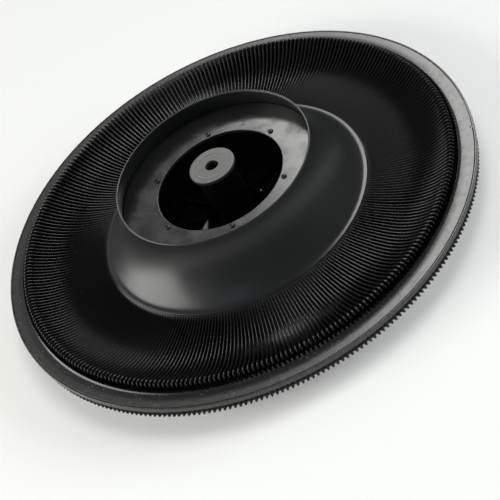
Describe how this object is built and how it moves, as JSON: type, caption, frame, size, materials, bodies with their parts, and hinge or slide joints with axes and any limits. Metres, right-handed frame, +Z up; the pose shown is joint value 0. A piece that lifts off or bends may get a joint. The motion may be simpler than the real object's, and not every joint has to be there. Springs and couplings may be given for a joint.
{
  "type": "slotted disc carousel",
  "caption": "Round carousel with thin radial dividers, a toothed drive rim, a flared bell with collar and a centre post turning on a bearing base.",
  "frame": {"origin": "on the axis it turns on, at the underside of the bearing base", "axes": "+Z up along the axis of rotation, out of the collar; +X and +Y are radial, with the joints between sectors at 20.4 degrees from +X and every 60 degrees on"},
  "size_m": [0.3801, 0.3802, 0.0752],
  "materials": {
    "moulded_black": "satin moulded black plastic with fine drag marks",
    "bell_black": "smooth semi-gloss black plastic",
    "rim_black": "satin black plastic with faint rubbed patches",
    "cap_grey": "turned light grey face with fine rings",
    "screw_black": "blackened steel",
    "screw_steel": "zinc-plated steel",
    "bush_bronze": "sintered oil-filled bronze",
    "base_grey": "die-cast metal, grey paint",
    "sleeve_steel": "ground steel tube"
  },
  "bodies": {
    "base": {"bearing_base": "base_grey", "spindle_sleeve": "sleeve_steel", "thrust_washer": "bush_bronze", "shim_washer": "sleeve_steel", "retaining_ring": "sleeve_steel"},
    "carousel": {"slot_sector_1": "moulded_black", "slot_sector_2": "moulded_black", "slot_sector_3": "moulded_black", "slot_sector_4": "moulded_black", "slot_sector_5": "moulded_black", "slot_sector_6": "moulded_black", "rim_flange": "rim_black", "gear_ring": "rim_black", "bell_cover": "bell_black", "index_ring": "rim_black", "index_ring_screws": "screw_black", "centre_post": "moulded_black", "post_cap": "cap_grey", "web_plate": "moulded_black", "post_screws": "screw_steel", "sector_screws": "screw_steel", "rim_screws": "screw_steel", "upper_bush": "bush_bronze", "lower_bush": "bush_bronze"}
  },
  "joints": [
    {"name": "carousel_spin", "type": "hinge", "parent": "base", "child": "carousel", "pos_m": [0, 0, 0], "axis": [0, 0, 1], "continuous": true}
  ]
}
